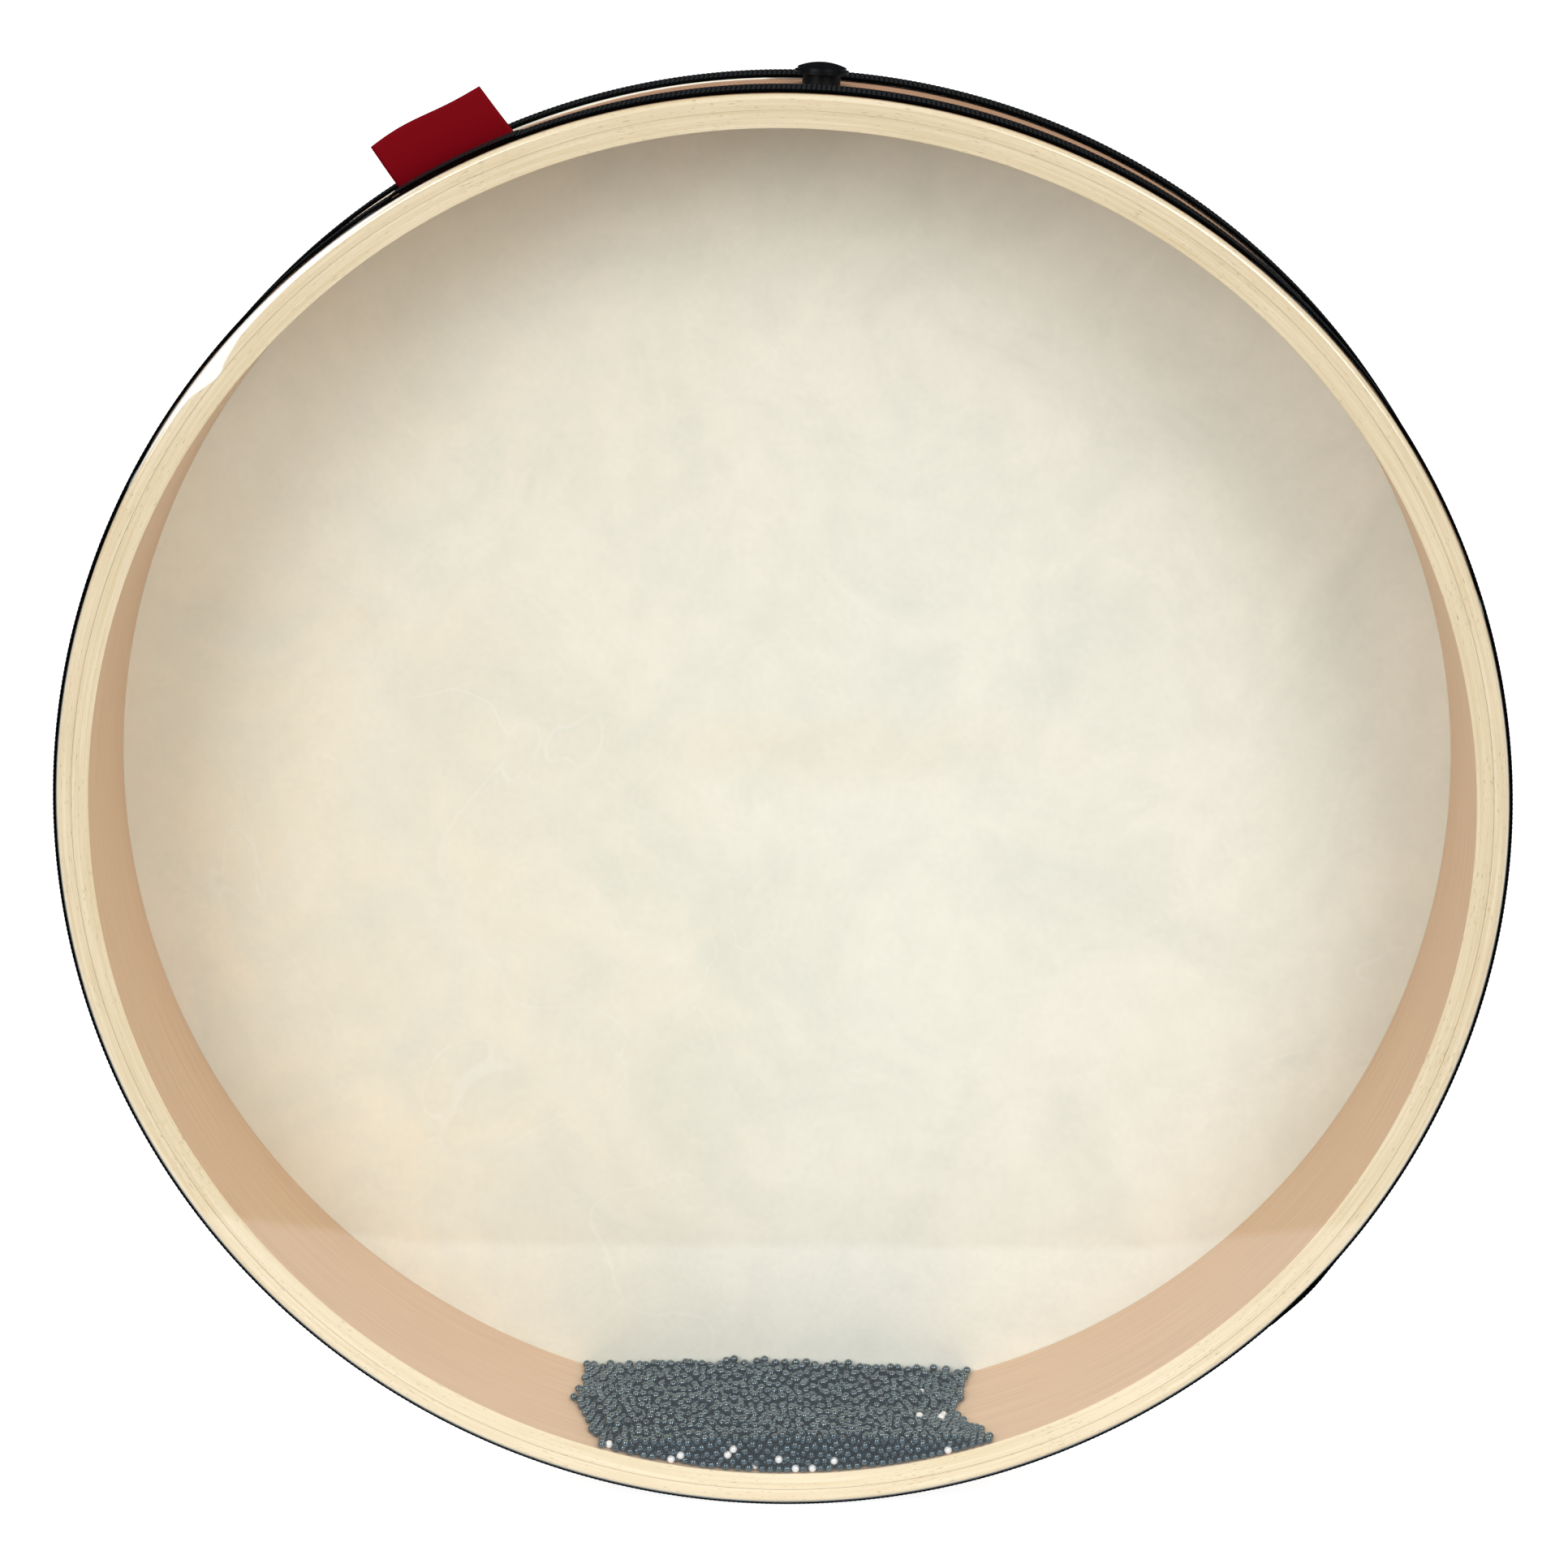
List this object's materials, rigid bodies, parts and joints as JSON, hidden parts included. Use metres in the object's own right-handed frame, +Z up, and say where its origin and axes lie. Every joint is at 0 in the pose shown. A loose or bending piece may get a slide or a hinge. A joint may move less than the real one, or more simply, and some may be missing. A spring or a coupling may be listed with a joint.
{
  "type": "ocean drum",
  "caption": "Double-headed frame drum with a clear film head, a skin head and steel beads that roll between them to make a surf sound.",
  "frame": {"origin": "the point of the floor under the middle of the drum, which stands on its rim", "axes": "+X to the right seen from the film side, +Y along the drum's axis from the film head to the skin head, +Z up through the stopper side of the rim"},
  "size_m": [0.5115, 0.077, 0.5171],
  "materials": {
    "outer_hoop_wood": "sanded and clear oiled beech ply, pale on its edges",
    "inner_hoop_wood": "sanded beech ply, warmer on its faces",
    "clear_film": "clear glossy polyester film",
    "goatskin": "natural cream rawhide, matt, faintly mottled and veined",
    "webbing": "black ribbed webbing",
    "satin": "deep red woven satin",
    "stopper_rubber": "black moulded rubber, semi-matt",
    "dark_steel": "blued, oiled and glossy steel shot",
    "bright_nickel": "bright nickelled steel shot"
  },
  "bodies": {
    "drum": {"outer_hoop": "outer_hoop_wood", "inner_hoop": "inner_hoop_wood", "film_head": "clear_film", "skin_head": "goatskin", "film_side_tape": "webbing", "skin_side_tape": "webbing", "label": "satin"},
    "stopper": {"stopper": "stopper_rubber"},
    "beads": {"buried_beads": "dark_steel", "beads_layer_1": "dark_steel", "beads_layer_2": "dark_steel", "beads_layer_3": "dark_steel", "beads_layer_4": "dark_steel", "bright_beads": "bright_nickel"}
  },
  "joints": [
    {"name": "beads_roll", "type": "hinge", "parent": "drum", "child": "beads", "pos_m": [0, 0, 0.2558], "axis": [0, 1, 0], "continuous": true},
    {"name": "stopper_pull", "type": "slide", "parent": "drum", "child": "stopper", "axis": [0.0523, 0, 0.9986], "range_m": [0, 0.022]}
  ]
}
